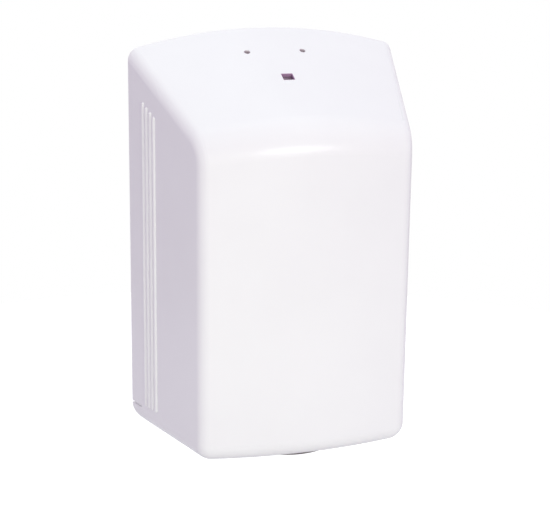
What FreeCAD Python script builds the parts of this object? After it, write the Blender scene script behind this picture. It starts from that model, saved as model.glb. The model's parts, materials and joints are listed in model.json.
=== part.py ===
"""Toilet seat wipe dispenser: a moulded cover hinged at its rear bottom corners over a wall plate.

Millimetres. The wall is the plane y = 0 and the front faces -Y, X runs across the width, +Z is up.
The origin is on the wall plate's rear face, on the centre line, level with the cover's underside.
"""

import FreeCAD
import Part

import os
from math import acos, atan2, cos, degrees, hypot, pi, radians, sin, sqrt, tan

V = FreeCAD.Vector

# Cover, outside, as if its edges were sharp
BACK_WIDTH = 178.1
FRONT_WIDTH = 135.0
DEPTH = 89.6
FRONT_BULGE = 8.4
BACK_HEIGHT = 244.4
BACK_CROWN = 12.4
FRONT_HEIGHT = 197.8
FRONT_CROWN = 7.5
CREASE_R = 25.0
EDGE_R = 8.5
BOTTOM_R = 11.6
WALL = 2.5
REAR_GAP = 0.8

# Finger ribs near the wall, four on each side
RIB_COUNT = 4
RIB_FIRST_DEPTH = 19.7
RIB_PITCH = 4.6
RIB_R = 1.4
RIB_HEIGHT = 1.1
RIB_BOTTOM = 17.0
RIB_TOP_BELOW_EDGE = 21.3

# Hinge at the rear bottom corners
HINGE_Y = -13.0
HINGE_Z = 8.0
HINGE_BOSS_R = 5.0
HINGE_BOSS_X = 71.0
HINGE_PIN_R = 2.0
HINGE_CLEARANCE = 0.05
HINGE_PIN_X = (61.0, 79.0)
HINGE_BORE_END_X = 80.0
LUG_X = (61.0, 69.0)
LUG_R = 6.5
CORNER_R = 14.0
SLIT_Z = 13.4
SLIT_WIDTH = 1.3
SLIT_DEPTH = 13.5
SLIT_REACH_IN = 14.0
PIN_CHAMFER = 0.4

# Nozzle and the opening round it
NOZZLE_Y = -50.0
OPENING_R = 37.5
BAY_HALF_WIDTH = 70.5
BAY_Y = -24.0
BAY_CORNER_R = 6.0
SHELF_HOLE_R = 33.0
CONE_R = 32.9
CONE_WALL = 2.0
CONE_FLANGE_R = 41.0
CONE_MOUTH_R = 12.0
RING_R = 35.0
RING_BOTTOM_Z = -3.1
RING_MOUTH_R = 14.0
RING_LIP = 1.2
RING_TOP_Z = 4.7
MEMBRANE_R = 31.0
MEMBRANE_TOP_Z = 0.9
MEMBRANE_THICKNESS = 1.4
MEMBRANE_HOLE_R = 6.0
MEMBRANE_SLIT_LENGTH = 12.0
MEMBRANE_SLIT_WIDTH = 0.8

# Shelf
SHELF_Z = 5.0
SHELF_THICKNESS = 3.0
SHELF_REAR_HALF_WIDTH = 60.0
SHELF_FRONT_HALF_WIDTH = 53.0
SHELF_FRONT_Y = -86.0
SHELF_CORNER_R = 12.0
SHELF_SCREW_INSET = 8.0
GUSSET_X = (56.5, 59.0)
GUSSET_TOP_Z = 40.0
GUSSET_FRONT_Y = -52.0
FLANGE_INNER_X = 42.0
FLANGE_THICKNESS = 2.5

# Wall plate
PLATE_THICKNESS = 3.0
PLATE_HALF_WIDTH = 82.0
PLATE_FOOT_HALF_WIDTH = 69.0
PLATE_FOOT_Z = 24.0
PLATE_SHOULDER_Z = 31.0
PLATE_SIDE_TOP_Z = 228.0
PLATE_TOP_Z = 247.0
PLATE_CORNER_R = 8.0
PLATE_RIM_DEPTH = 6.0
PLATE_RIM_WIDTH = 2.2
GUIDE_X = (50.5, 53.0)
GUIDE_FRONT_Y = -34.0
GUIDE_Z = (45.0, 188.0)
GUIDE_CHAMFER = 16.0
STIFFENER_Z = (52.0, 95.0, 140.0, 185.0)
STIFFENER_DEPTH = 5.0
STIFFENER_WIDTH = 2.0
WALL_HOLE_R = 2.6
WALL_HOLE_X = 36.0
WALL_HOLE_Z = (72.0, 202.0)
WALL_BOSS_R = 7.0
WALL_BOSS_DEPTH = 4.5

# Lock, in its own frame: u across, v up the slope towards the wall, w out of the slope
KEY_Y = -49.2
KEY_HOLE_WIDTH = 7.5
KEY_HOLE_LENGTH = 6.8
KEY_SOCKET = 5.6
GUIDE_PIN_U = 18.3
GUIDE_PIN_V = 28.3
GUIDE_PIN_R = 2.0
GUIDE_PIN_END_W = -1.9
GUIDE_PIN_HEAD_R = 3.4
LOCK_BOSS_R = 4.5
LOCK_SCREW_U = 20.0
LOCK_SCREW_V = -6.0
LOCK_SCREW_R = 1.4
SCREW_HOLE_R = 1.6
LOCK_SCREW_END_W = -3.6
SCREW_END_ROOM = 0.2
HOUSING_HALF_U = 25.0
HOUSING_V = (-10.0, 33.0)
HOUSING_W = (-8.2, -5.7)
HOUSING_CORNER_R = 4.0
COLLAR_R = 9.0
COLLAR_TOP_W = -3.4
RETAINER_W = (-13.7, -11.7)
SPACER_R = 3.5
LATCH_W = (-11.2, -8.7)
BARREL_R = 6.0
BARREL_CLEARANCE = 0.05
BARREL_TOP_W = -3.2
BARREL_HEAD_W = -8.4
SOCKET_DEPTH = 4.0
JOURNAL_R = 3.0
JOURNAL_END_W = -15.6
CLIP_R = 5.5
CLIP_MOUTH_HALF_WIDTH = 2.1
WASHER_R = 6.5
WASHER_W = (-14.2, -13.8)
CLIP_W = (-15.0, -14.2)

# Pinion on the barrel and rack on the latch plate
MODULE = 1.0
PINION_TEETH = 12
PRESSURE_ANGLE = radians(25.0)
TOOTH_BACKLASH = 0.12
ADDENDUM = 1.0
DEDENDUM = 1.25
FLANK_STEPS = 4
RACK_TEETH = 7
RACK_FIRST_TOOTH = -4.5
PITCH_R = MODULE * PINION_TEETH / 2
LATCH_TRAVEL = PITCH_R * pi / 2

# Latch plate and keeper
LATCH_BAR_U = (-34.0, 24.0)
LATCH_BAR_V = (22.5, 33.0)
LATCH_LEG_U = (-16.5, 7.5)
SLOT_HALF_WIDTH = 2.3
SLOT_END_ROOM = 0.5
HOOK_STEM_U = (-22.0, 3.0)
HOOK_STEM_WIDTH = 5.0
HOOK_LIP_LENGTH = 6.0
HOOK_LIP_V = (38.5, 41.5)
POST_OFFSET_U = 15.0
POST_WIDTH = 4.0
POST_V = (34.6, 38.1)
POST_TOP_W = -8.2
KEEPER_ARM_REACH = 12.0
KEEPER_ARM_W = (-15.5, -13.2)
KEEPER_U = (-12.0, 27.0)
KEEPER_Z = (220.0, 241.0)
KEEPER_SCREW_X = (-6.0, 21.0)
KEEPER_SCREW_Z = 225.0
SCREW_TIP_Y = -0.6
SCREW_HEAD_R = 2.8
SCREW_HEAD_HEIGHT = 1.6

# Worked out from the sizes above
TAPER = (BACK_WIDTH - FRONT_WIDTH) / 2 / DEPTH
TAPER_LENGTH = hypot(1, TAPER)
FRONT_ARC_R = (FRONT_WIDTH**2 / 4 + FRONT_BULGE**2) / (2 * FRONT_BULGE)
FRONT_ARC_Y = FRONT_ARC_R - DEPTH - FRONT_BULGE
RIDGE_DROP = BACK_HEIGHT + BACK_CROWN - FRONT_HEIGHT - FRONT_CROWN
SLOPE = atan2(RIDGE_DROP, DEPTH + FRONT_BULGE)
SIDE_SLOPE = (BACK_HEIGHT - FRONT_HEIGHT) / DEPTH
LOCK_PLACE = FreeCAD.Placement(
    V(0, KEY_Y, BACK_HEIGHT + BACK_CROWN + KEY_Y * tan(SLOPE)),
    FreeCAD.Rotation(V(1, 0, 0), degrees(SLOPE)),
)
SHELF_TOP_Z = SHELF_Z + SHELF_THICKNESS
PLATE_FRONT_Y = -PLATE_THICKNESS
REACH = 300.0


def block(x, y, z):
    """A box from its low and high x, y and z."""
    corner = V(min(x), min(y), min(z))
    return Part.makeBox(abs(x[1] - x[0]), abs(y[1] - y[0]), abs(z[1] - z[0]), corner)


def rod(radius, start, end):
    """A cylinder between two points."""
    axis = end - start
    return Part.makeCylinder(radius, axis.Length, start, axis)


def plate(points, direction):
    """A flat polygon pushed along a direction."""
    outline = Part.makePolygon([*points, points[0]])
    return Part.Face(outline).extrude(direction)


def joined(shapes):
    """Shapes fused into one solid, with the seams between flush faces removed."""
    first, *rest = shapes
    return first.fuse(rest).removeSplitter() if rest else first


def upright_edges(shape, keep):
    """The shape's edges along Z whose middle passes the test."""
    found = []
    for edge in shape.Edges:
        ends = [vertex.Point for vertex in edge.Vertexes]
        if len(ends) == 2 and hypot(ends[0].x - ends[1].x, ends[0].y - ends[1].y) < 1e-6:
            if keep((ends[0] + ends[1]) / 2):
                found.append(edge)
    return found


def both_sides(shape):
    """A shape on the +X side and its mirror image."""
    return shape, shape.mirror(V(0, 0, 0), V(1, 0, 0))


def in_lock_frame(shape):
    """A shape drawn in u, v, w moved to its place under the slope."""
    moved = shape.copy()
    moved.Placement = LOCK_PLACE.multiply(moved.Placement)
    return moved


def lock_rod(radius, u, v, w):
    """A cylinder along w, in the lock's frame."""
    return rod(radius, V(u, v, min(w)), V(u, v, max(w)))


# Cover


def crown_arc(along, drop):
    """The slope's arc across the width: 0 is at the wall, 1 at the crease. It runs past both ends."""
    half = BACK_WIDTH / 2 + (FRONT_WIDTH - BACK_WIDTH) / 2 * along
    side_z = BACK_HEIGHT + (FRONT_HEIGHT - BACK_HEIGHT) * along - drop
    ridge_z = BACK_HEIGHT + BACK_CROWN - RIDGE_DROP * along - drop
    left = V(-half, -DEPTH * along, side_z)
    right = V(half, -DEPTH * along, side_z)
    circle = Part.Circle(left, V(0, -(DEPTH + FRONT_BULGE) * along, ridge_z), right)
    start = circle.parameter(left)
    span = (circle.parameter(right) - start) % (2 * pi)
    past_end = 0.15 * span
    return circle.toShape(start - past_end, start + span + past_end)


def plan_outline(inset, rear_y):
    """Straight tapering sides and an arched front, moved in by inset."""
    side_x = BACK_WIDTH / 2 - inset * TAPER_LENGTH
    radius = FRONT_ARC_R - inset
    # The front corner is where the side's line meets the front's circle
    a = 1 + TAPER**2
    b = 2 * (side_x * TAPER - FRONT_ARC_Y)
    c = side_x**2 + FRONT_ARC_Y**2 - radius**2
    corner_y = (-b - sqrt(b * b - 4 * a * c)) / (2 * a)
    corner_x = side_x + corner_y * TAPER
    rear_x = side_x + rear_y * TAPER
    corners = [V(x, y, inset) for x, y in ((-rear_x, rear_y), (-corner_x, corner_y))]
    corners += [V(x, y, inset) for x, y in ((corner_x, corner_y), (rear_x, rear_y))]
    front = Part.Arc(corners[1], V(0, FRONT_ARC_Y - radius, inset), corners[2]).toShape()
    left, right = (Part.makeLine(*corners[i : i + 2]) for i in (0, 2))
    return Part.Wire([left, front, right, Part.makeLine(corners[3], corners[0])])


def middle_of(edge):
    return edge.valueAt((edge.FirstParameter + edge.LastParameter) / 2)


def cover_form(inset, rear_y):
    """The cover's outside, or its hollow with the wall's thickness as inset."""
    prism = Part.Face(plan_outline(inset, rear_y)).extrude(V(0, 0, REACH))
    drop = inset / cos(SLOPE)
    slope = Part.makeRuledSurface(crown_arc(-0.15, drop), crown_arc(1.2, drop))
    sharp = prism.cut(slope.extrude(V(0, 0, REACH)))
    crease = []
    for edge in sharp.Edges:
        middle = middle_of(edge)
        if abs(middle.x) < 0.01 and middle.y < -DEPTH / 2 and middle.z > FRONT_HEIGHT / 2:
            crease.append(edge)
    creased = sharp.makeFillet(CREASE_R - inset, crease)
    radii = []
    for number, edge in enumerate(creased.Edges, 1):
        middle = middle_of(edge)
        if abs(middle.y - rear_y) < 0.01 or (abs(middle.x) < 0.01 and middle.z > inset + 0.01):
            continue
        radius = (BOTTOM_R if abs(middle.z - inset) < 0.01 else EDGE_R) - inset
        radii.append((number, radius, radius))
    document = FreeCAD.newDocument("Form")
    base = document.addObject("Part::Feature", "Sharp")
    base.Shape = creased
    rounded = document.addObject("Part::Fillet", "Rounded")
    rounded.Base = base
    rounded.Edges = radii
    document.recompute()
    form = rounded.Shape.copy()
    FreeCAD.closeDocument(document.Name)
    return form


def finger_rib(number):
    """One upright half-round rib on the +X side wall, with ball ends."""
    depth = RIB_FIRST_DEPTH + RIB_PITCH * number
    sunk = (RIB_R - RIB_HEIGHT) / TAPER_LENGTH
    x = BACK_WIDTH / 2 - depth * TAPER - sunk
    y = -depth + sunk * TAPER
    low = V(x, y, RIB_BOTTOM)
    high = V(x, y, BACK_HEIGHT - depth * SIDE_SLOPE - RIB_TOP_BELOW_EDGE)
    ends = [Part.makeSphere(RIB_R, point) for point in (low, high)]
    return joined([rod(RIB_R, low, high), *ends])


def bottom_opening():
    """The opening round the nozzle and the open bay behind it, as a cutter."""
    z = (-1.0, WALL + 1.0)
    tool = joined(
        [
            rod(OPENING_R, V(0, NOZZLE_Y, z[0]), V(0, NOZZLE_Y, z[1])),
            block((-OPENING_R, OPENING_R), (NOZZLE_Y, BAY_Y + 1), z),
            block((-BAY_HALF_WIDTH, BAY_HALF_WIDTH), (BAY_Y, 2.0), z),
        ]
    )
    corners = upright_edges(tool, lambda p: abs(p.y - BAY_Y) < 0.01)
    return tool.makeFillet(BAY_CORNER_R, corners)


def rear_corner_cut():
    """What rounds both rear bottom corners in side view, so that they clear the wall."""
    centre_y = -REAR_GAP - CORNER_R
    square = block((-REACH, REACH), (centre_y, 2.0), (-1.0, CORNER_R))
    return square.cut(rod(CORNER_R, V(-REACH, centre_y, CORNER_R), V(REACH, centre_y, CORNER_R)))


def hinge_slit():
    """The slit above the +X hinge corner, closed by a round end."""
    x = (BACK_WIDTH / 2 - SLIT_REACH_IN, BACK_WIDTH / 2 + 2.0)
    half = SLIT_WIDTH / 2
    end_y = -SLIT_DEPTH + half
    straight = block(x, (end_y, 2.0), (SLIT_Z - half, SLIT_Z + half))
    return joined([straight, rod(half, V(x[0], end_y, SLIT_Z), V(x[1], end_y, SLIT_Z))])


def make_front_cover():
    outside = cover_form(0.0, -REAR_GAP)
    shell = outside.cut(cover_form(WALL, 5.0))
    hinge_boss = rod(HINGE_BOSS_R, V(HINGE_BOSS_X, HINGE_Y, HINGE_Z), V(BACK_WIDTH / 2, HINGE_Y, HINGE_Z))
    hinge_bore = rod(
        HINGE_PIN_R + HINGE_CLEARANCE,
        V(HINGE_BOSS_X - 1, HINGE_Y, HINGE_Z),
        V(HINGE_BORE_END_X, HINGE_Y, HINGE_Z),
    )
    boss_w = (HOUSING_W[1], -WALL / 2)
    lock_bosses = []
    lock_bores = []
    for side in (-1, 1):
        places = (
            (GUIDE_PIN_U, GUIDE_PIN_V, GUIDE_PIN_R, 1.0),
            (LOCK_SCREW_U, LOCK_SCREW_V, LOCK_SCREW_R, LOCK_SCREW_END_W),
        )
        for u, v, bore_r, bore_end_w in places:
            lock_bosses.append(lock_rod(LOCK_BOSS_R, side * u, v, boss_w))
            lock_bores.append(lock_rod(bore_r, side * u, v, (boss_w[0] - 1, bore_end_w)))
    key_hole = block(
        (-KEY_HOLE_WIDTH / 2, KEY_HOLE_WIDTH / 2),
        (-KEY_HOLE_LENGTH / 2, KEY_HOLE_LENGTH / 2),
        (-WALL - 1, 1.0),
    )
    lock_bosses = [in_lock_frame(boss).common(outside) for boss in lock_bosses]
    ribs = [side for number in range(RIB_COUNT) for side in both_sides(finger_rib(number))]
    body = joined([shell, *ribs, *lock_bosses, *both_sides(hinge_boss.common(outside))])
    cutters = [bottom_opening(), rear_corner_cut(), *both_sides(hinge_slit()), *both_sides(hinge_bore)]
    cutters += [in_lock_frame(cutter) for cutter in (*lock_bores, key_hole)]
    return body.cut(cutters)


# Wall plate, shelf and nozzle


def plate_outline():
    """A narrow foot between the hinge corners, wide sides and a crowned top."""
    foot, wide = PLATE_FOOT_HALF_WIDTH, PLATE_HALF_WIDTH
    right = [V(foot, 0, 0), V(foot, 0, PLATE_FOOT_Z), V(wide, 0, PLATE_SHOULDER_Z)]
    right.append(V(wide, 0, PLATE_SIDE_TOP_Z))
    left = [V(-point.x, 0, point.z) for point in reversed(right)]
    crown = Part.Arc(right[-1], V(0, 0, PLATE_TOP_Z), left[0]).toShape()
    lines = [Part.makeLine(*pair) for pair in zip(right, right[1:])]
    lines.append(crown)
    lines += [Part.makeLine(*pair) for pair in zip(left, left[1:])]
    lines.append(Part.makeLine(left[-1], right[0]))
    return Part.Wire(lines)


def refill_guide():
    """The upright fin on the +X side that keeps the refill centred."""
    low, high = GUIDE_Z
    points = (
        (PLATE_FRONT_Y, low),
        (GUIDE_FRONT_Y + GUIDE_CHAMFER, low),
        (GUIDE_FRONT_Y, low + GUIDE_CHAMFER),
        (GUIDE_FRONT_Y, high - GUIDE_CHAMFER),
        (GUIDE_FRONT_Y + GUIDE_CHAMFER, high),
        (PLATE_FRONT_Y, high),
    )
    return plate([V(GUIDE_X[0], y, z) for y, z in points], V(GUIDE_X[1] - GUIDE_X[0], 0, 0))


def hinge_lug():
    """The lug on the +X side that holds the hinge pin."""
    eye = rod(LUG_R, V(LUG_X[0], HINGE_Y, HINGE_Z), V(LUG_X[1], HINGE_Y, HINGE_Z))
    web = block(LUG_X, (HINGE_Y, PLATE_FRONT_Y), (HINGE_Z - LUG_R, HINGE_Z + LUG_R))
    return joined([eye, web])


def plate_screw_places():
    """Where screws enter the wall plate from the front: the shelf's four, then the keeper's two."""
    shelf_x = (FLANGE_INNER_X + GUSSET_X[0]) / 2
    shelf_z = (SHELF_TOP_Z + SHELF_SCREW_INSET, GUSSET_TOP_Z - SHELF_SCREW_INSET)
    shelf = [(side * shelf_x, z) for side in (-1, 1) for z in shelf_z]
    keeper = [(x, KEEPER_SCREW_Z) for x in KEEPER_SCREW_X]
    return shelf, keeper


def make_back_plate():
    sheet = Part.Face(plate_outline()).extrude(V(0, PLATE_FRONT_Y, 0))
    corners = []
    for edge in sheet.Edges:
        points = [vertex.Point for vertex in edge.Vertexes]
        if len(points) == 2 and (points[0] - points[1]).cross(V(0, 1, 0)).Length < 1e-6:
            if points[0].z > PLATE_FOOT_Z - 1:
                corners.append(edge)
    sheet = sheet.makeFillet(PLATE_CORNER_R, corners)
    rear_face = max(sheet.Faces, key=lambda face: face.CenterOfMass.y)
    outline = rear_face.OuterWire
    inside = Part.Face(outline.makeOffset2D(-PLATE_RIM_WIDTH))
    rim = Part.Face(outline).cut(inside).extrude(V(0, -PLATE_RIM_DEPTH, 0))
    foot_room = block(
        (-PLATE_FOOT_HALF_WIDTH + PLATE_RIM_WIDTH, PLATE_FOOT_HALF_WIDTH - PLATE_RIM_WIDTH),
        (PLATE_FRONT_Y, -REACH),
        (-1.0, PLATE_FOOT_Z),
    )
    pieces = [sheet, rim.cut(foot_room), *both_sides(refill_guide()), *both_sides(hinge_lug())]
    across = (-GUIDE_X[0], GUIDE_X[0])
    for z in STIFFENER_Z:
        pieces.append(block(across, (PLATE_FRONT_Y, -STIFFENER_DEPTH), (z, z + STIFFENER_WIDTH)))
    wall_places = [(side * WALL_HOLE_X, z) for side in (-1, 1) for z in WALL_HOLE_Z]
    pieces += [rod(WALL_BOSS_R, V(x, PLATE_FRONT_Y, z), V(x, -WALL_BOSS_DEPTH, z)) for x, z in wall_places]
    cutters = [rod(WALL_HOLE_R, V(x, 1, z), V(x, -REACH, z)) for x, z in wall_places]
    for places in plate_screw_places():
        cutters += [rod(LOCK_SCREW_R, V(x, PLATE_FRONT_Y - 1, z), V(x, SCREW_TIP_Y, z)) for x, z in places]
    cutters.append(rod(HINGE_PIN_R, V(-REACH, HINGE_Y, HINGE_Z), V(REACH, HINGE_Y, HINGE_Z)))
    return joined(pieces).cut(cutters)


def outlet_screw_places():
    """The four screws through the cone's flange, on the diagonals."""
    radius = (CONE_R + CONE_FLANGE_R) / 2
    angles = [radians(45 + 90 * quarter) for quarter in range(4)]
    return [(radius * cos(angle), NOZZLE_Y + radius * sin(angle)) for angle in angles]


def make_base_shelf():
    rear, front = SHELF_REAR_HALF_WIDTH, SHELF_FRONT_HALF_WIDTH
    corners = (
        V(-rear, PLATE_FRONT_Y, SHELF_Z),
        V(-front, SHELF_FRONT_Y, SHELF_Z),
        V(front, SHELF_FRONT_Y, SHELF_Z),
        V(rear, PLATE_FRONT_Y, SHELF_Z),
    )
    deck = plate(corners, V(0, 0, SHELF_THICKNESS))
    deck = deck.makeFillet(SHELF_CORNER_R, upright_edges(deck, lambda p: p.y < SHELF_FRONT_Y + 1))
    gusset_outline = ((PLATE_FRONT_Y, SHELF_Z), (PLATE_FRONT_Y, GUSSET_TOP_Z), (GUSSET_FRONT_Y, SHELF_TOP_Z))
    gusset_points = [V(GUSSET_X[0], y, z) for y, z in (*gusset_outline, (GUSSET_FRONT_Y, SHELF_Z))]
    gusset = plate(gusset_points, V(GUSSET_X[1] - GUSSET_X[0], 0, 0))
    flange_y = (PLATE_FRONT_Y - FLANGE_THICKNESS, PLATE_FRONT_Y)
    flange = block((FLANGE_INNER_X, GUSSET_X[1]), flange_y, (SHELF_Z, GUSSET_TOP_Z))
    body = joined([deck, *both_sides(gusset), *both_sides(flange)])
    holes = [(SHELF_HOLE_R, 0, NOZZLE_Y)]
    holes += [(LOCK_SCREW_R, x, y) for x, y in outlet_screw_places()]
    cutters = [rod(r, V(x, y, SHELF_Z - 1), V(x, y, SHELF_TOP_Z + 1)) for r, x, y in holes]
    shelf_places, _ = plate_screw_places()
    cutters += [rod(SCREW_HOLE_R, V(x, flange_y[0] - 1, z), V(x, 0, z)) for x, z in shelf_places]
    return body.cut(cutters)


def turned(profile):
    """A profile of radius and height turned about the nozzle's axis."""
    points = [V(radius, NOZZLE_Y, z) for radius, z in profile]
    face = Part.Face(Part.makePolygon([*points, points[0]]))
    return face.revolve(V(0, NOZZLE_Y, 0), V(0, 0, 1), 360)


def make_outlet_cone():
    flange_top = SHELF_TOP_Z + CONE_WALL
    inner_r = CONE_R - CONE_WALL
    profile = (
        (CONE_MOUTH_R, MEMBRANE_TOP_Z),
        (CONE_R, MEMBRANE_TOP_Z),
        (CONE_R, SHELF_TOP_Z),
        (CONE_FLANGE_R, SHELF_TOP_Z),
        (CONE_FLANGE_R, flange_top),
        (inner_r, flange_top),
        (inner_r, SHELF_Z + 0.5),
        (CONE_MOUTH_R, MEMBRANE_TOP_Z + CONE_WALL),
    )
    z = (SHELF_Z, flange_top + 1)
    holes = [rod(SCREW_HOLE_R, V(x, y, z[0]), V(x, y, z[1])) for x, y in outlet_screw_places()]
    return turned(profile).cut(holes)


def make_outlet_membrane():
    z = (MEMBRANE_TOP_Z - MEMBRANE_THICKNESS, MEMBRANE_TOP_Z)
    disc = rod(MEMBRANE_R, V(0, NOZZLE_Y, z[0]), V(0, NOZZLE_Y, z[1]))
    star = [rod(MEMBRANE_HOLE_R, V(0, NOZZLE_Y, z[0] - 1), V(0, NOZZLE_Y, z[1] + 1))]
    for turn in range(3):
        slit = block(
            (-MEMBRANE_SLIT_LENGTH, MEMBRANE_SLIT_LENGTH),
            (NOZZLE_Y - MEMBRANE_SLIT_WIDTH / 2, NOZZLE_Y + MEMBRANE_SLIT_WIDTH / 2),
            (z[0] - 1, z[1] + 1),
        )
        star.append(slit.rotate(V(0, NOZZLE_Y, 0), V(0, 0, 1), 60 * turn))
    return disc.cut(star)


def make_outlet_ring():
    membrane_bottom = MEMBRANE_TOP_Z - MEMBRANE_THICKNESS
    profile = (
        (RING_MOUTH_R, membrane_bottom),
        (SHELF_HOLE_R, membrane_bottom),
        (SHELF_HOLE_R, RING_TOP_Z),
        (RING_R, RING_TOP_Z),
        (RING_R, RING_BOTTOM_Z + RING_LIP),
        (RING_R - RING_LIP, RING_BOTTOM_Z),
        (RING_MOUTH_R + RING_LIP, RING_BOTTOM_Z),
        (RING_MOUTH_R, RING_BOTTOM_Z + RING_LIP),
    )
    return turned(profile)


# Lock


def polar(radius, angle):
    return V(radius * cos(angle), radius * sin(angle), 0)


def involute_angle(radius, base_r):
    """Polar angle, from its foot, of an involute at a radius."""
    return tan(acos(base_r / radius)) - acos(base_r / radius)


def curve_through(points):
    spline = Part.BSplineCurve()
    spline.interpolate(points)
    return spline.toShape()


def pinion_outline():
    """The pinion's teeth about the lock's origin; one tooth points to the rack."""
    base_r = PITCH_R * cos(PRESSURE_ANGLE)
    tip_r = PITCH_R + ADDENDUM * MODULE
    root_r = PITCH_R - DEDENDUM * MODULE
    half_tooth = (pi * MODULE / 2 - TOOTH_BACKLASH) / (2 * PITCH_R)
    foot = half_tooth + involute_angle(PITCH_R, base_r)
    radii = [base_r + (tip_r - base_r) * step / FLANK_STEPS for step in range(FLANK_STEPS + 1)]
    edges = []
    for tooth in range(PINION_TEETH):
        middle = pi / 2 - 2 * pi * tooth / PINION_TEETH
        rising, falling = (
            [polar(r, middle + side * (foot - involute_angle(r, base_r))) for r in radii]
            for side in (1, -1)
        )
        falling.reverse()
        root_in, root_out = polar(root_r, middle + foot), polar(root_r, middle - foot)
        next_root = polar(root_r, middle - 2 * pi / PINION_TEETH + foot)
        edges.append(Part.makeLine(root_in, rising[0]))
        edges.append(curve_through(rising))
        edges.append(Part.makeLine(rising[-1], falling[0]))
        edges.append(curve_through(falling))
        edges.append(Part.makeLine(falling[-1], root_out))
        edges.append(Part.makeLine(root_out, next_root))
    return Part.Wire(edges)


def make_lock_barrel():
    head = lock_rod(BARREL_R, 0, 0, (BARREL_HEAD_W, BARREL_TOP_W))
    socket = block(
        (-KEY_SOCKET / 2, KEY_SOCKET / 2),
        (-KEY_SOCKET / 2, KEY_SOCKET / 2),
        (BARREL_TOP_W - SOCKET_DEPTH, BARREL_TOP_W + 1),
    )
    hub = lock_rod(PITCH_R - DEDENDUM * MODULE, 0, 0, (LATCH_W[0], BARREL_HEAD_W))
    pinion = Part.Face(pinion_outline()).extrude(V(0, 0, LATCH_W[1] - LATCH_W[0]))
    pinion.translate(V(0, 0, LATCH_W[0]))
    journal = lock_rod(JOURNAL_R, 0, 0, (JOURNAL_END_W, LATCH_W[0]))
    return in_lock_frame(joined([head, hub, pinion, journal]).cut(socket))


def lock_frame_plate(w):
    """A plate with rounded corners, the size of the lock's frame."""
    body = block((-HOUSING_HALF_U, HOUSING_HALF_U), HOUSING_V, w)
    return body.makeFillet(HOUSING_CORNER_R, upright_edges(body, lambda p: True))


def lock_frame_holes(w):
    """The guide pins' and screws' holes through one plate of the lock's frame."""
    past = (w[0] - 1, w[1] + 1)
    holes = []
    for side in (-1, 1):
        holes.append(lock_rod(GUIDE_PIN_R, side * GUIDE_PIN_U, GUIDE_PIN_V, past))
        holes.append(lock_rod(SCREW_HOLE_R, side * LOCK_SCREW_U, LOCK_SCREW_V, past))
    return holes


def make_lock_housing():
    collar = lock_rod(COLLAR_R, 0, 0, (HOUSING_W[0], COLLAR_TOP_W))
    spacer_w = (RETAINER_W[1], HOUSING_W[0])
    spacers = [lock_rod(SPACER_R, side * LOCK_SCREW_U, LOCK_SCREW_V, spacer_w) for side in (-1, 1)]
    body = joined([lock_frame_plate(HOUSING_W), collar, *spacers])
    bore = lock_rod(BARREL_R + BARREL_CLEARANCE, 0, 0, (HOUSING_W[0] - 1, 0))
    return in_lock_frame(body.cut([bore, *lock_frame_holes((RETAINER_W[1], HOUSING_W[1]))]))


def make_lock_retainer():
    bore = lock_rod(JOURNAL_R + BARREL_CLEARANCE, 0, 0, (RETAINER_W[0] - 1, RETAINER_W[1] + 1))
    body = lock_frame_plate(RETAINER_W)
    return in_lock_frame(body.cut([bore, *lock_frame_holes(RETAINER_W)]))


def lock_fastener(u, v, radius, head_r, end_w):
    """A headed pin or screw that enters from below the retainer."""
    shank = lock_rod(radius, u, v, (RETAINER_W[0], end_w))
    head = lock_rod(head_r, u, v, (RETAINER_W[0] - SCREW_HEAD_HEIGHT, RETAINER_W[0]))
    return in_lock_frame(joined([shank, head]))


def make_guide_pin(side):
    return lock_fastener(side * GUIDE_PIN_U, GUIDE_PIN_V, GUIDE_PIN_R, GUIDE_PIN_HEAD_R, GUIDE_PIN_END_W)


def make_lock_screws():
    end_w = LOCK_SCREW_END_W - SCREW_END_ROOM
    screws = [
        lock_fastener(side * LOCK_SCREW_U, LOCK_SCREW_V, LOCK_SCREW_R, SCREW_HEAD_R, end_w)
        for side in (-1, 1)
    ]
    return Part.makeCompound(screws)


def make_barrel_washer():
    bore = lock_rod(JOURNAL_R, 0, 0, (WASHER_W[0] - 1, WASHER_W[1] + 1))
    return in_lock_frame(lock_rod(WASHER_R, 0, 0, WASHER_W).cut(bore))


def make_barrel_clip():
    """An open retaining clip on the journal's end."""
    past = (CLIP_W[0] - 1, CLIP_W[1] + 1)
    ring = lock_rod(CLIP_R, 0, 0, CLIP_W).cut(lock_rod(JOURNAL_R, 0, 0, past))
    mouth = block((-CLIP_MOUTH_HALF_WIDTH, CLIP_MOUTH_HALF_WIDTH), (-CLIP_R - 1, 0), past)
    return in_lock_frame(ring.cut(mouth))


def rack_cutter():
    """The gaps between the rack's teeth, as a cutter over the leg's lower edge."""
    pitch = pi * MODULE
    tip_v = PITCH_R - ADDENDUM * MODULE
    root_v = PITCH_R + DEDENDUM * MODULE
    half_gap = pitch / 4 + TOOTH_BACKLASH / 2
    wide = half_gap + (PITCH_R - tip_v + 1) * tan(PRESSURE_ANGLE)
    narrow = half_gap - (root_v - PITCH_R) * tan(PRESSURE_ANGLE)
    gaps = []
    for tooth in range(RACK_TEETH + 1):
        u = (RACK_FIRST_TOOTH + tooth - 0.5) * pitch
        corners = ((u - wide, tip_v - 1), (u + wide, tip_v - 1), (u + narrow, root_v), (u - narrow, root_v))
        gap = plate([V(x, y, LATCH_W[0] - 1) for x, y in corners], V(0, 0, LATCH_W[1] - LATCH_W[0] + 2))
        gaps.append(gap)
    return gaps


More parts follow.
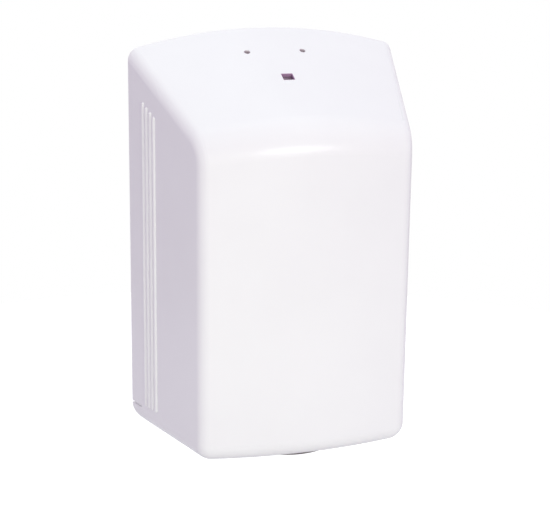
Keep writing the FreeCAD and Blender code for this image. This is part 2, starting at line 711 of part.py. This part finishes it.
def latch_slot(pin_u):
    """The slot that one guide pin stands in; the plate moves towards +u."""
    past = (LATCH_W[0] - 1, LATCH_W[1] + 1)
    ends = (pin_u - LATCH_TRAVEL - SLOT_END_ROOM, pin_u + SLOT_END_ROOM)
    middle = block(ends, (GUIDE_PIN_V - SLOT_HALF_WIDTH, GUIDE_PIN_V + SLOT_HALF_WIDTH), past)
    return joined([middle, *(lock_rod(SLOT_HALF_WIDTH, u, GUIDE_PIN_V, past) for u in ends)])


def make_latch_plate():
    tip_v = PITCH_R - ADDENDUM * MODULE
    pieces = [
        block(LATCH_BAR_U, LATCH_BAR_V, LATCH_W),
        block(LATCH_LEG_U, (tip_v, LATCH_BAR_V[0]), LATCH_W),
    ]
    for stem_u in HOOK_STEM_U:
        lip_end = stem_u + HOOK_STEM_WIDTH + HOOK_LIP_LENGTH
        pieces.append(block((stem_u, stem_u + HOOK_STEM_WIDTH), (LATCH_BAR_V[1], HOOK_LIP_V[1]), LATCH_W))
        pieces.append(block((stem_u, lip_end), HOOK_LIP_V, LATCH_W))
    cutters = [*rack_cutter(), latch_slot(GUIDE_PIN_U), latch_slot(-GUIDE_PIN_U)]
    return in_lock_frame(joined(pieces).cut(cutters))


def make_lock_keeper():
    """A bracket on the wall plate whose arm carries two posts for the hooks."""
    arm = block(KEEPER_U, (POST_V[0], POST_V[1] + KEEPER_ARM_REACH), KEEPER_ARM_W)
    post_w = (KEEPER_ARM_W[0], POST_TOP_W)
    posts = []
    for stem_u in HOOK_STEM_U:
        u = stem_u + POST_OFFSET_U
        posts.append(block((u, u + POST_WIDTH), POST_V, post_w))
    flange = block(KEEPER_U, (PLATE_FRONT_Y - FLANGE_THICKNESS, PLATE_FRONT_Y), KEEPER_Z)
    behind = block((-REACH, REACH), (PLATE_FRONT_Y, REACH), (0, REACH))
    _, places = plate_screw_places()
    holes = [rod(SCREW_HOLE_R, V(x, -REACH, z), V(x, 0, z)) for x, z in places]
    return joined([flange, *(in_lock_frame(piece) for piece in (arm, *posts))]).cut([behind, *holes])


# Fasteners and pins


def plate_screws(places):
    """Screws through a flange into the wall plate."""
    head_y = PLATE_FRONT_Y - FLANGE_THICKNESS
    screws = []
    for x, z in places:
        shank = rod(LOCK_SCREW_R, V(x, head_y, z), V(x, SCREW_TIP_Y, z))
        head = rod(SCREW_HEAD_R, V(x, head_y - SCREW_HEAD_HEIGHT, z), V(x, head_y, z))
        screws.append(joined([shank, head]))
    return Part.makeCompound(screws)


def make_outlet_screws():
    head_z = SHELF_TOP_Z + CONE_WALL
    screws = []
    for x, y in outlet_screw_places():
        shank = rod(LOCK_SCREW_R, V(x, y, SHELF_Z), V(x, y, head_z))
        head = rod(SCREW_HEAD_R, V(x, y, head_z), V(x, y, head_z + SCREW_HEAD_HEIGHT))
        screws.append(joined([shank, head]))
    return Part.makeCompound(screws)


def make_hinge_pin(side):
    ends = [V(side * x, HINGE_Y, HINGE_Z) for x in HINGE_PIN_X]
    pin = rod(HINGE_PIN_R, *ends)
    rims = [edge for edge in pin.Edges if isinstance(edge.Curve, Part.Circle)]
    return pin.makeChamfer(PIN_CHAMFER, rims)


def main():
    shelf_screw_places, keeper_screw_places = plate_screw_places()
    nodes = {
        "front_cover": make_front_cover(),
        "back_plate": make_back_plate(),
        "base_shelf": make_base_shelf(),
        "shelf_screws": plate_screws(shelf_screw_places),
        "hinge_pin_left": make_hinge_pin(-1),
        "hinge_pin_right": make_hinge_pin(1),
        "outlet_cone": make_outlet_cone(),
        "outlet_membrane": make_outlet_membrane(),
        "outlet_ring": make_outlet_ring(),
        "outlet_screws": make_outlet_screws(),
        "lock_housing": make_lock_housing(),
        "lock_retainer": make_lock_retainer(),
        "lock_screws": make_lock_screws(),
        "guide_pin_left": make_guide_pin(-1),
        "guide_pin_right": make_guide_pin(1),
        "lock_barrel": make_lock_barrel(),
        "barrel_washer": make_barrel_washer(),
        "barrel_clip": make_barrel_clip(),
        "latch_plate": make_latch_plate(),
        "lock_keeper": make_lock_keeper(),
        "keeper_screws": plate_screws(keeper_screw_places),
    }
    os.makedirs("parts", exist_ok=True)
    for name, shape in nodes.items():
        if not shape.isValid():
            raise ValueError(f"{name} is not a valid shape")
        shape.exportStep(f"parts/{name}.step")
        print(f"{name}: {len(shape.Solids)} solid(s), {shape.Volume / 1000:.2f} cm3")


main()
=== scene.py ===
"""Toilet seat wipe dispenser: the finish of its surfaces, its small hardware, the lights and the camera.

Metres. The wall is the plane y = 0 and the front faces -Y, X runs across the width, +Z is up.
"""

import json
import math

import bmesh
import bpy
from mathutils import Matrix, Vector


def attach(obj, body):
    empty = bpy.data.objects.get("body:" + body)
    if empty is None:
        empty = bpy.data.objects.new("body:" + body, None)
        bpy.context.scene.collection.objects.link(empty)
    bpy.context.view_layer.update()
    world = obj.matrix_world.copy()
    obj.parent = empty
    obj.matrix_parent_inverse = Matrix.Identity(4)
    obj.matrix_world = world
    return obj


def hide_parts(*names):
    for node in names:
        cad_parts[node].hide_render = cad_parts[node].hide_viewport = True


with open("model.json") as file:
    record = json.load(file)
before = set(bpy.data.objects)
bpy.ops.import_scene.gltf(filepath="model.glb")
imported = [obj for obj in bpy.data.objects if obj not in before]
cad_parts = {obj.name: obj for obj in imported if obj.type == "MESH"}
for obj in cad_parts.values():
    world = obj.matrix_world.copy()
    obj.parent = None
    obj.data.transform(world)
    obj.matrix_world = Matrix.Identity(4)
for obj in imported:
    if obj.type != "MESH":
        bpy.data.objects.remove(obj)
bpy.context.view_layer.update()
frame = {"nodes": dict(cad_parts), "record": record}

MM = 0.001

# Camera
CAMERA_AT = Vector((-0.29927, -0.89727, 0.34582))
CAMERA_YAW = math.radians(-19.01)
CAMERA_PITCH = math.radians(14.371)
CAMERA_ROLL = math.radians(0.664)
CAMERA_LENS = 96.059
CAMERA_SENSOR = 36.0

# Floor and surroundings
FLOOR_Z = -0.085
FLOOR_RADIUS = 0.60
FLOOR_COLOUR = (0.73, 0.73, 0.73)
FLOOR_GLOW = (0.965, 1.0, 0.935)
FLOOR_GLOW_SEEN = 0.54
FLOOR_GLOW_IN_MIRRORS = 0.15
AROUND_COLOUR = (0.516, 0.431, 0.578)
BELOW_HORIZON = 0.55
HORIZON_BLUR = 0.08

# Lamps: name, bearing from -Y towards +X, height angle, distance, width, height, watts, colour
LAMPS = (
    ("key_softbox", 14.0, 10.5, 1.6, 0.72, 0.42, 3.5, (1.0, 1.0, 1.0)),
    ("front_softbox", -10.0, 4.0, 1.9, 2.0, 1.6, 17.4, (0.880, 1.0, 0.750)),
    ("top_softbox", 0.0, 102.0, 1.8, 1.6, 1.2, 14.8, (0.82, 1.0, 0.86)),
)
LAMP_TARGET = Vector((0.0, -0.06, 0.13))
HIGHLIGHT_LAMP = "key_softbox"


# Node helpers


def new_material(name):
    """A node material; returns its material, its node tree and its Principled shader."""
    material = bpy.data.materials.new(name)
    material.use_nodes = True
    tree = material.node_tree
    return material, tree, tree.nodes["Principled BSDF"]


def put(tree, kind, **values):
    """A new node with its properties and input values set."""
    node = tree.nodes.new(kind)
    for key, value in values.items():
        if key in node.inputs:
            node.inputs[key].default_value = value
        else:
            setattr(node, key, value)
    return node


def wire(tree, source, target, source_socket=0):
    """Links an output to an input, given as (node, input name)."""
    tree.links.new(source.outputs[source_socket], target[0].inputs[target[1]])


def grain(tree, size, detail=2.0, stretch=(1.0, 1.0, 1.0)):
    """A noise whose blotches are about a size across, in the object's own space."""
    coords = put(tree, "ShaderNodeTexCoord")
    mapping = put(tree, "ShaderNodeMapping")
    mapping.inputs["Scale"].default_value = stretch
    noise = put(tree, "ShaderNodeTexNoise", Scale=1.0 / size, Detail=detail)
    wire(tree, coords, (mapping, "Vector"), "Object")
    wire(tree, mapping, (noise, "Vector"))
    return noise


def spread(tree, noise, low, high, start=0.3, end=0.7):
    """Maps a noise to a range of values."""
    ramp = put(tree, "ShaderNodeMapRange")
    ramp.inputs["From Min"].default_value = start
    ramp.inputs["From Max"].default_value = end
    ramp.inputs["To Min"].default_value = low
    ramp.inputs["To Max"].default_value = high
    wire(tree, noise, (ramp, "Value"))
    return ramp


def tinted(tree, shader, noise, colour, other):
    """Colours the shader with a noise's blend of two close colours."""
    ramp = put(tree, "ShaderNodeValToRGB")
    ramp.color_ramp.elements[0].position = 0.3
    ramp.color_ramp.elements[1].position = 0.7
    ramp.color_ramp.elements[0].color = (*colour, 1.0)
    ramp.color_ramp.elements[1].color = (*other, 1.0)
    wire(tree, noise, (ramp, "Fac"))
    wire(tree, ramp, (shader, "Base Color"))


def bumps(tree, shader, layers):
    """Stacks bump layers: each is a noise, a strength and a height in metres."""
    last = None
    for noise, strength, height in layers:
        bump = put(tree, "ShaderNodeBump", Strength=strength, Distance=height)
        wire(tree, noise, (bump, "Height"))
        if last:
            wire(tree, last, (bump, "Normal"))
        last = bump
    wire(tree, last, (shader, "Normal"))


# Materials


def white_abs():
    """Satin moulded ABS: faint flow mottle, a slight orange peel and a fine etched grain."""
    material, tree, shader = new_material("white_abs")
    tinted(tree, shader, grain(tree, 45 * MM, 3.0), (0.870, 0.864, 0.871), (0.884, 0.879, 0.885))
    etched = grain(tree, 0.35 * MM, 2.0)
    wire(tree, spread(tree, etched, 0.20, 0.27), (shader, "Roughness"))
    bumps(tree, shader, ((grain(tree, 7 * MM, 1.0), 0.05, 0.05 * MM), (etched, 0.04, 0.01 * MM)))
    return material


def white_abs_satin():
    """Spark-eroded moulded ABS, as on the hidden wall plate and shelf."""
    material, tree, shader = new_material("white_abs_satin")
    tinted(tree, shader, grain(tree, 30 * MM, 3.0), (0.80, 0.795, 0.80), (0.83, 0.825, 0.83))
    sparks = grain(tree, 0.45 * MM, 3.0)
    wire(tree, spread(tree, sparks, 0.46, 0.60), (shader, "Roughness"))
    bumps(tree, shader, ((sparks, 0.35, 0.05 * MM),))
    return material


def dark_plastic():
    """Dark brown-grey moulding of the nozzle."""
    material, tree, shader = new_material("dark_plastic")
    tinted(tree, shader, grain(tree, 9 * MM, 3.0), (0.105, 0.082, 0.085), (0.130, 0.104, 0.107))
    sparks = grain(tree, 0.5 * MM, 3.0)
    wire(tree, spread(tree, sparks, 0.38, 0.52), (shader, "Roughness"))
    bumps(tree, shader, ((sparks, 0.4, 0.06 * MM),))
    return material


def painted_shade_plastic(name, tint, other_tint):
    """Dull mauve plastic of a hole's lining: its dark colour is painted shade of the hole's inside, mottled at
    random.
    """
    material, tree, shader = new_material(name)
    shade_mottle = grain(tree, 0.5 * MM, 4.0, (1.0, 1.0, 0.3))
    # The two dark tints are painted shade, blended by a random mottle.
    tinted(tree, shader, shade_mottle, tint, other_tint)
    wire(tree, spread(tree, shade_mottle, 0.42, 0.60), (shader, "Roughness"))
    bumps(tree, shader, ((shade_mottle, 0.3, 0.04 * MM),))
    return material


def membrane_rubber():
    """Soft rubber with a dusty bloom."""
    material, tree, shader = new_material("membrane_rubber")
    tinted(tree, shader, grain(tree, 4 * MM, 4.0), (0.045, 0.042, 0.045), (0.075, 0.070, 0.075))
    fine = grain(tree, 0.3 * MM, 3.0)
    wire(tree, spread(tree, fine, 0.62, 0.80), (shader, "Roughness"))
    shader.inputs["Sheen Weight"].default_value = 0.15
    bumps(tree, shader, ((fine, 0.3, 0.05 * MM),))
    return material


def grey_plastic():
    """Glass-filled nylon of the lock's housing, with its streaky fibres."""
    material, tree, shader = new_material("grey_plastic")
    fibres = grain(tree, 1.5 * MM, 5.0, (0.2, 1.0, 1.0))
    tinted(tree, shader, fibres, (0.30, 0.30, 0.315), (0.38, 0.38, 0.395))
    wire(tree, spread(tree, fibres, 0.42, 0.60), (shader, "Roughness"))
    bumps(tree, shader, ((fibres, 0.3, 0.05 * MM),))
    return material


def steel():
    """Bright zinc-plated steel, brushed along its length."""
    material, tree, shader = new_material("steel")
    shader.inputs["Metallic"].default_value = 1.0
    tinted(tree, shader, grain(tree, 5 * MM, 3.0), (0.56, 0.57, 0.60), (0.66, 0.66, 0.67))
    brushed = grain(tree, 0.6 * MM, 4.0, (0.1, 1.0, 1.0))
    wire(tree, spread(tree, brushed, 0.22, 0.38), (shader, "Roughness"))
    bumps(tree, shader, ((brushed, 0.2, 0.02 * MM),))
    return material


def phosphated_steel():
    """Dull phosphate coat on the guide pins, rubbed a little lighter in patches."""
    material, tree, shader = new_material("phosphated_steel")
    shader.inputs["Metallic"].default_value = 0.3
    skin = grain(tree, 1.2 * MM, 4.0)
    tinted(tree, shader, skin, (0.37, 0.325, 0.35), (0.46, 0.41, 0.435))
    wire(tree, spread(tree, skin, 0.48, 0.62), (shader, "Roughness"))
    bumps(tree, shader, ((grain(tree, 0.3 * MM, 3.0), 0.3, 0.03 * MM),))
    return material


def passivated_zinc():
    """Dull lilac passivated skin on the zinc barrel, rubbed and slightly mottled."""
    material, tree, shader = new_material("passivated_zinc")
    shader.inputs["Metallic"].default_value = 0.2
    skin = grain(tree, 2.0 * MM, 4.0)
    tinted(tree, shader, skin, (0.55, 0.425, 0.53), (0.65, 0.515, 0.63))
    wire(tree, spread(tree, skin, 0.40, 0.56), (shader, "Roughness"))
    bumps(tree, shader, ((grain(tree, 0.4 * MM, 3.0), 0.3, 0.04 * MM),))
    return material


def cast_zinc():
    """Bare die-cast zinc, grey and slightly mottled."""
    material, tree, shader = new_material("cast_zinc")
    shader.inputs["Metallic"].default_value = 1.0
    skin = grain(tree, 2.5 * MM, 4.0)
    tinted(tree, shader, skin, (0.42, 0.42, 0.44), (0.52, 0.52, 0.54))
    wire(tree, spread(tree, skin, 0.36, 0.54), (shader, "Roughness"))
    bumps(tree, shader, ((grain(tree, 0.4 * MM, 3.0), 0.3, 0.04 * MM),))
    return material


MATERIALS = {
    "white_abs": white_abs(),
    "white_abs_satin": white_abs_satin(),
    "dark_plastic": dark_plastic(),
    "membrane_rubber": membrane_rubber(),
    "grey_plastic": grey_plastic(),
    "steel": steel(),
    "zinc": cast_zinc(),
}
PIN_STEEL = phosphated_steel()
FINISHES = {
    "guide_pin_left": PIN_STEEL,
    "guide_pin_right": PIN_STEEL,
    "lock_barrel": passivated_zinc(),
}


def dress_nodes():
    """Gives every CAD node the material of its slot."""
    for part in frame["record"]["subparts"]:
        node = frame["nodes"][part["node"]]
        node.data.materials.clear()
        node.data.materials.append(FINISHES.get(part["node"], MATERIALS[part["material_slot"]]))


dress_nodes()


# Screws

SCREW_SIDES = 32
THREAD_PITCH = 1.1 * MM
THREAD_DEPTH = 0.32 * MM
THREAD_STEPS = 8
HEAD_DOME_STEPS = 6
RECESS_DEPTH = 1.0 * MM
RECESS_ARM = 1.5 * MM
RECESS_WIDTH = 0.5 * MM


def ring_of(mesh, radius_at, z_at):
    """One ring of vertices whose radius and height may change round the turn."""
    ring = []
    for side in range(SCREW_SIDES):
        angle = 2 * math.pi * side / SCREW_SIDES
        radius = radius_at(angle)
        ring.append(mesh.verts.new((radius * math.cos(angle), radius * math.sin(angle), z_at(angle))))
    return ring


def bridge(mesh, lower, upper):
    for side in range(SCREW_SIDES):
        after = (side + 1) % SCREW_SIDES
        mesh.faces.new((lower[side], lower[after], upper[after], upper[side]))


def in_recess(x, y):
    """True inside the cross that the driver fits."""
    along, across = max(abs(x), abs(y)), min(abs(x), abs(y))
    return along < RECESS_ARM and across < RECESS_WIDTH


def screw_mesh(name, head_r, head_height, shank_r, length):
    """A pan-head thread-forming screw, its head's underside at z = 0 and its tip at -length."""
    mesh = bmesh.new()
    rings = [ring_of(mesh, lambda angle: 0.35 * shank_r, lambda angle: -length)]
    steps = int(length / THREAD_PITCH * THREAD_STEPS)
    for step in range(steps + 1):
        z = -length + length * step / steps

        def radius(angle, z=z):
            phase = (z / THREAD_PITCH - angle / (2 * math.pi)) % 1.0
            ridge = 1.0 - min(1.0, abs(phase - 0.5) * 3.0)
            taper = min(1.0, (z + length) / (2 * shank_r) + 0.35)
            return (shank_r - THREAD_DEPTH + THREAD_DEPTH * ridge) * taper

        rings.append(ring_of(mesh, radius, lambda angle, z=z: z))
    rings.append(ring_of(mesh, lambda angle: head_r * 0.97, lambda angle: 0.0))
    rings.append(ring_of(mesh, lambda angle: head_r, lambda angle: 0.12 * head_height))
    for step in range(HEAD_DOME_STEPS + 1):
        turn = math.pi / 2 * step / HEAD_DOME_STEPS
        width = head_r * (0.62 + 0.38 * math.cos(turn))
        height = head_height * (0.35 + 0.65 * math.sin(turn))
        rings.append(ring_of(mesh, lambda angle, w=width: w, lambda angle, h=height: h))
    for lower, upper in zip(rings, rings[1:]):
        bridge(mesh, lower, upper)
    mesh.faces.new(list(reversed(rings[0])))
    mesh.faces.new(rings[-1])
    data = bpy.data.meshes.new(name)
    mesh.to_mesh(data)
    mesh.free()
    return data


def recess_mesh(head_height):
    """The tapered cross that is cut from a screw's head."""
    mesh = bmesh.new()
    for turn in (0.0, math.pi / 2):
        spin = Matrix.Rotation(turn, 4, "Z")
        top = head_height + 0.2 * MM
        low = head_height - RECESS_DEPTH
        corners = []
        for z, scale in ((low, 0.55), (top, 1.08)):
            for x, y in ((-1, -1), (1, -1), (1, 1), (-1, 1)):
                arm = RECESS_ARM * scale if z == low else RECESS_ARM
                corners.append(mesh.verts.new(spin @ Vector((x * arm, y * RECESS_WIDTH / 2 * scale, z))))
        faces = ((3, 2, 1, 0), (4, 5, 6, 7), (0, 1, 5, 4), (1, 2, 6, 5), (2, 3, 7, 6), (3, 0, 4, 7))
        for face in faces:
            mesh.faces.new([corners[index] for index in face])
    data = bpy.data.meshes.new("recess")
    mesh.to_mesh(data)
    mesh.free()
    return data


def cut_screw(name, head_r, head_height, shank_r, length):
    """A screw's mesh with the driver's recess cut in."""
    screw = bpy.data.objects.new(name, screw_mesh(name, head_r, head_height, shank_r, length))
    cutter = bpy.data.objects.new(name + "_cutter", recess_mesh(head_height))
    for item in (screw, cutter):
        bpy.context.scene.collection.objects.link(item)
    cut = screw.modifiers.new("recess", "BOOLEAN")
    cut.object = cutter
    cut.operation = "DIFFERENCE"
    cut.solver = "EXACT"
    cut.use_self = True
    bpy.context.view_layer.update()
    evaluated = screw.evaluated_get(bpy.context.evaluated_depsgraph_get())
    data = bpy.data.meshes.new_from_object(evaluated)
    for item in (screw, cutter):
        bpy.data.objects.remove(item)
    data.set_sharp_from_angle(angle=math.radians(40))
    return data


def islands(node):
    """Each separate solid of a node, as a list of its corners."""
    mesh = bmesh.new()
    mesh.from_mesh(frame["nodes"][node].data)
    bmesh.ops.remove_doubles(mesh, verts=mesh.verts, dist=1e-6)
    left = set(mesh.verts)
    groups = []
    while left:
        edge = [left.pop()]
        group = []
        while edge:
            vert = edge.pop()
            group.append(vert.co.copy())
            for link in vert.link_edges:
                other = link.other_vert(vert)
                if other in left:
                    left.remove(other)
                    edge.append(other)
        groups.append(group)
    mesh.free()
    return groups


def seated_screws(node, body, axis):
    """Detailed screws in place of a node's plain ones; axis points from the tip to the head."""
    axis = axis.normalized()
    turn = axis.to_track_quat("Z", "Y").to_matrix().to_4x4()
    pieces = []
    for index, corners in enumerate(islands(node)):
        centre = sum(corners, Vector()) / len(corners)
        heights = [(corner - centre).dot(axis) for corner in corners]
        top, tip = max(heights), min(heights)

        def radius_near(level):
            near = [corner - centre for corner, h in zip(corners, heights) if abs(h - level) < 0.1 * MM]
            return max((offset - axis * offset.dot(axis)).length for offset in near)

        def centre_near(level):
            near = [corner for corner, h in zip(corners, heights) if abs(h - level) < 0.1 * MM]
            return sum(near, Vector()) / len(near)

        middle = (centre_near(top) + centre_near(tip)) / 2
        base = middle - axis * (middle - centre).dot(axis)
        head_height = 1.6 * MM
        shank_r = 1.4 * MM
        name = f"{node}_{index + 1}"
        data = cut_screw(name, radius_near(top), head_height, shank_r, top - tip - head_height)
        piece = bpy.data.objects.new(name, data)
        bpy.context.scene.collection.objects.link(piece)
        spin = Matrix.Rotation(0.7 * index + 0.4, 4, "Z")
        piece.matrix_world = Matrix.Translation(base + axis * (top - head_height)) @ turn @ spin
        data.materials.append(MATERIALS["steel"])
        pieces.append(piece)
    for piece in pieces:
        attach(piece, body)
    for piece in pieces:
        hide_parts(node)


KEY_SOCKET = next(mount for mount in frame["record"]["mounts"] if mount["name"] == "key_socket")
SLOPE_OUT = Vector(KEY_SOCKET["axis"])

seated_screws("shelf_screws", "chassis", Vector((0, -1, 0)))
seated_screws("keeper_screws", "chassis", Vector((0, -1, 0)))
seated_screws("outlet_screws", "chassis", Vector((0, 0, 1)))
seated_screws("lock_screws", "cover", -SLOPE_OUT)


# Linings of the three holes in the cover's slope, coloured dark as painted shade of the holes' insides

# Name, centre across, centre up the slope, half width, half length, corner radius, top, bottom, lean, painted
# shade tints
SHADE_LININGS = (
    ("key_hole_painted_shade", 0.0, 0.0, 3.75, 3.4, 0.3, -0.10, -2.45, 0.0, ((0.36, 0.215, 0.35), (0.45, 0.28, 0.435))),
    ("pin_hole_painted_shade_left", -18.3, 28.3, 2.0, 2.0, 1.9, -0.58, -1.86, 0.055, ((0.49, 0.425, 0.465), (0.57, 0.50, 0.54))),
    ("pin_hole_painted_shade_right", 18.3, 28.3, 2.0, 2.0, 1.9, -0.58, -1.86, -0.055, ((0.49, 0.425, 0.465), (0.57, 0.50, 0.54))),
)
LINING_GAP = 0.04 * MM
LINING_WALL = 0.32 * MM
LINING_CORNER_STEPS = 6


def lining_loop(mesh, halves, inset, corner_r, height, lean=0.0):
    """A rectangle with round corners, drawn in by the inset, as a loop of vertices."""
    radius = max(corner_r - inset, 0.1 * MM)
    loop = []
    for corner, (u, v) in enumerate(((1, 1), (-1, 1), (-1, -1), (1, -1))):
        for step in range(LINING_CORNER_STEPS + 1):
            angle = math.pi / 2 * (corner + step / LINING_CORNER_STEPS)
            across = u * (halves[0] - inset - radius) + radius * math.cos(angle)
            along = v * (halves[1] - inset - radius) + radius * math.sin(angle)
            loop.append(mesh.verts.new((across, along, height + lean * across)))
    return loop


def make_shade_lining(name, u, v, half_width, half_length, corner_r, top, bottom, lean, shade_tints):
    """A thin bush in a hole of the cover, with its upper inner edge chamfered; its dark colour is painted shade
    of the hole.
    """
    mesh = bmesh.new()
    halves = (half_width * MM, half_length * MM)
    corner_r, top, bottom = corner_r * MM, top * MM, bottom * MM
    edge = LINING_GAP + LINING_WALL / 2
    inner = LINING_GAP + LINING_WALL
    loops = [
        lining_loop(mesh, halves, LINING_GAP, corner_r, bottom),
        lining_loop(mesh, halves, LINING_GAP, corner_r, top, lean),
        lining_loop(mesh, halves, edge, corner_r, top, lean),
        lining_loop(mesh, halves, inner, corner_r, top - LINING_WALL / 2, lean),
        lining_loop(mesh, halves, inner, corner_r, bottom),
    ]
    for first, second in zip(loops, loops[1:] + loops[:1]):
        for index in range(len(first)):
            after = (index + 1) % len(first)
            mesh.faces.new((first[index], first[after], second[after], second[index]))
    data = bpy.data.meshes.new(name)
    mesh.to_mesh(data)
    mesh.free()
    # The dark tints are painted shade of the hole's inside.
    data.materials.append(painted_shade_plastic(name, *shade_tints))
    lining = bpy.data.objects.new(name, data)
    across = Vector((1, 0, 0))
    up_slope = SLOPE_OUT.cross(across)
    turn = Matrix((across, up_slope, SLOPE_OUT)).transposed().to_4x4()
    centre = Vector(KEY_SOCKET["pos_m"]) + across * u * MM + up_slope * v * MM
    lining.matrix_world = Matrix.Translation(centre) @ turn
    bpy.context.scene.collection.objects.link(lining)
    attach(lining, "cover")


# Each lining is a dark sheet that paints the shade inside its hole.
for row in SHADE_LININGS:
    make_shade_lining(*row)

# Floor, surroundings, lamps and camera


def seen_directly(tree):
    """1 for what the camera sees, straight or in a mirror or glass, and 0 for scattered light."""
    path = put(tree, "ShaderNodeLightPath")
    mirrored = put(tree, "ShaderNodeMath", operation="ADD", use_clamp=True)
    either = put(tree, "ShaderNodeMath", operation="ADD", use_clamp=True)
    wire(tree, path, (mirrored, 0), "Is Glossy Ray")
    wire(tree, path, (mirrored, 1), "Is Transmission Ray")
    wire(tree, mirrored, (either, 0))
    wire(tree, path, (either, 1), "Is Camera Ray")
    return either


def make_floor():
    """A wide pale disc, which looks white from a distance and keeps the shadow."""
    mesh = bmesh.new()
    bmesh.ops.create_circle(mesh, cap_ends=True, segments=96, radius=FLOOR_RADIUS)
    data = bpy.data.meshes.new("floor")
    mesh.to_mesh(data)
    mesh.free()
    floor = bpy.data.objects.new("floor", data)
    floor.location = (0, 0, FLOOR_Z)
    bpy.context.scene.collection.objects.link(floor)
    material, tree, shader = new_material("floor")
    shader.inputs["Base Color"].default_value = (*FLOOR_COLOUR, 1.0)
    shader.inputs["Roughness"].default_value = 0.9
    level = put(tree, "ShaderNodeMapRange")
    level.inputs["To Min"].default_value = FLOOR_GLOW_IN_MIRRORS
    level.inputs["To Max"].default_value = FLOOR_GLOW_SEEN
    wire(tree, put(tree, "ShaderNodeLightPath"), (level, "Value"), "Is Camera Ray")
    glow = put(tree, "ShaderNodeMath", operation="MULTIPLY")
    wire(tree, level, (glow, 0))
    wire(tree, seen_directly(tree), (glow, 1))
    shader.inputs["Emission Color"].default_value = (*FLOOR_GLOW, 1.0)
    wire(tree, glow, (shader, "Emission Strength"))
    data.materials.append(material)


def make_world():
    """White behind the object and in its mirror images, duller below the horizon; soft light all round."""
    world = bpy.data.worlds.new("surroundings")
    bpy.context.scene.world = world
    world.use_nodes = True
    tree = world.node_tree
    tree.nodes.clear()
    around = put(tree, "ShaderNodeBackground", Color=(*AROUND_COLOUR, 1.0), Strength=1.0)
    behind = put(tree, "ShaderNodeBackground", Color=(1.0, 1.0, 1.0, 1.0))
    direction = put(tree, "ShaderNodeTexCoord")
    parts = put(tree, "ShaderNodeSeparateXYZ")
    height = put(tree, "ShaderNodeMapRange")
    height.inputs["From Min"].default_value = -HORIZON_BLUR
    height.inputs["From Max"].default_value = 0.0
    height.inputs["To Min"].default_value = BELOW_HORIZON
    wire(tree, direction, (parts, "Vector"), "Generated")
    wire(tree, parts, (height, "Value"), "Z")
    plain = put(tree, "ShaderNodeMath", operation="MAXIMUM")
    wire(tree, height, (plain, 0))
    wire(tree, put(tree, "ShaderNodeLightPath"), (plain, 1), "Is Camera Ray")
    wire(tree, plain, (behind, "Strength"))
    mix = put(tree, "ShaderNodeMixShader")
    output = put(tree, "ShaderNodeOutputWorld")
    wire(tree, seen_directly(tree), (mix, "Fac"))
    tree.links.new(around.outputs[0], mix.inputs[1])
    tree.links.new(behind.outputs[0], mix.inputs[2])
    wire(tree, mix, (output, "Surface"))


def make_lamps():
    for name, bearing, height, distance, wide, tall, watts, colour in LAMPS:
        light = bpy.data.lights.new(name, "AREA")
        light.shape = "ELLIPSE"
        light.size = wide
        light.size_y = tall
        light.energy = watts
        light.color = colour
        lamp = bpy.data.objects.new(name, light)
        bearing, height = math.radians(bearing), math.radians(height)
        away = Vector(
            (math.sin(bearing) * math.cos(height), -math.cos(bearing) * math.cos(height), math.sin(height))
        )
        lamp.location = LAMP_TARGET + away * distance
        lamp.rotation_euler = away.to_track_quat("Z", "Y").to_euler()
        lamp.visible_glossy = name == HIGHLIGHT_LAMP
        bpy.context.scene.collection.objects.link(lamp)


def make_camera():
    lens = bpy.data.cameras.new("camera")
    lens.lens = CAMERA_LENS
    lens.sensor_width = CAMERA_SENSOR
    lens.sensor_fit = "HORIZONTAL"
    camera = bpy.data.objects.new("camera", lens)
    turn = Matrix.Rotation(CAMERA_YAW, 4, "Z") @ Matrix.Rotation(math.pi / 2 - CAMERA_PITCH, 4, "X")
    camera.matrix_world = Matrix.Translation(CAMERA_AT) @ turn @ Matrix.Rotation(CAMERA_ROLL, 4, "Z")
    bpy.context.scene.collection.objects.link(camera)
    bpy.context.scene.camera = camera


make_floor()
make_world()
make_lamps()
make_camera()
bpy.context.scene.view_settings.view_transform = "Standard"
